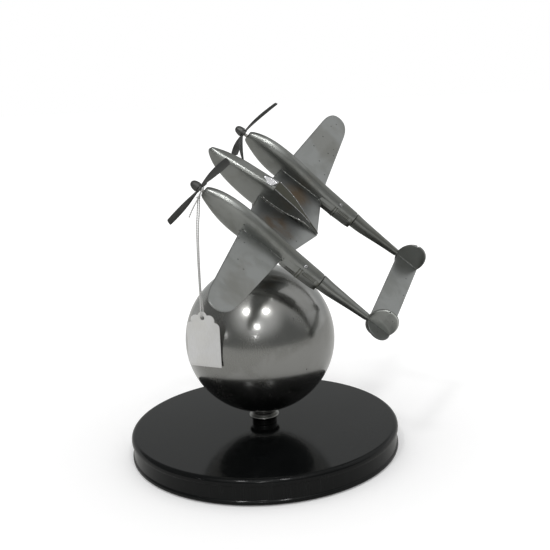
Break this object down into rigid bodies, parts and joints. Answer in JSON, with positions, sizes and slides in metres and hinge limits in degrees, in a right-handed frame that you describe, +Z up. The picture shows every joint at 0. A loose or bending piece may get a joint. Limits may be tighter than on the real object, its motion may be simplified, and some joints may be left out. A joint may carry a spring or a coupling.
{
  "type": "airplane desk ornament",
  "caption": "Polished metal twin-boom aeroplane banking over a mirror-bright ball on a round black base, with free-spinning propellers and a string price ticket.",
  "frame": {"origin": "centre of the base's flat underside, on the surface that the ornament stands on", "axes": "+Z up; the aeroplane's nose points towards -X and its left, lower wing towards -Y"},
  "size_m": [0.1714, 0.1606, 0.1932],
  "materials": {
    "base_black": "polished glossy black",
    "felt": "dark green felt",
    "bright_steel": "plain steel",
    "polished_metal": "polished plating",
    "mirror_metal": "mirror polish",
    "body_metal": "hand polished, slightly dull",
    "canopy_metal": "bright polish",
    "wing_metal": "satin polish with small pits and stains",
    "propeller_steel": "dull dark steel",
    "card": "thin white paper card",
    "string": "twisted cotton string"
  },
  "bodies": {
    "ornament": {"base_disc": "base_black", "base_felt": "felt", "base_washer": "bright_steel", "base_nut": "bright_steel", "tie_rod": "bright_steel", "neck_collar": "polished_metal", "ball": "mirror_metal", "stem_collar": "polished_metal", "stem": "polished_metal", "stem_socket": "polished_metal", "pod": "body_metal", "canopy": "canopy_metal", "pod_spine": "body_metal", "pod_keel": "body_metal", "wing_centre": "wing_metal", "wing_left": "wing_metal", "wing_right": "wing_metal", "nacelle_left": "body_metal", "nacelle_right": "body_metal", "radiator_left_outer": "body_metal", "radiator_left_inner": "body_metal", "radiator_right_outer": "body_metal", "radiator_right_inner": "body_metal", "turbo_left": "canopy_metal", "turbo_right": "canopy_metal", "tail_boom_left": "body_metal", "tail_boom_right": "body_metal", "tailplane": "wing_metal", "tail_tip_left": "wing_metal", "tail_tip_right": "wing_metal", "fin_left": "body_metal", "fin_right": "body_metal", "propeller_pin_left": "bright_steel", "propeller_pin_right": "bright_steel"},
    "left_propeller_set": {"propeller_left": "propeller_steel", "spinner_left": "propeller_steel"},
    "right_propeller_set": {"propeller_right": "propeller_steel", "spinner_right": "propeller_steel"},
    "ticket": {"ticket_card": "card", "ticket_knot": "string", "ticket_string": "string"}
  },
  "joints": [
    {"name": "propeller_left_spin", "type": "hinge", "parent": "ornament", "child": "left_propeller_set", "pos_m": [-0.02502, -0.02809, 0.15369], "axis": [-0.7547, 0, 0.6561], "continuous": true},
    {"name": "propeller_right_spin", "type": "hinge", "parent": "ornament", "child": "right_propeller_set", "pos_m": [-0.00445, 0.02094, 0.17735], "axis": [-0.7547, 0, 0.6561], "continuous": true},
    {"name": "ticket_swing", "type": "hinge", "parent": "ornament", "child": "ticket", "pos_m": [-0.02381, -0.02809, 0.15264], "axis": [-0.7547, 0, 0.6561], "range_deg": [0, 45]}
  ]
}
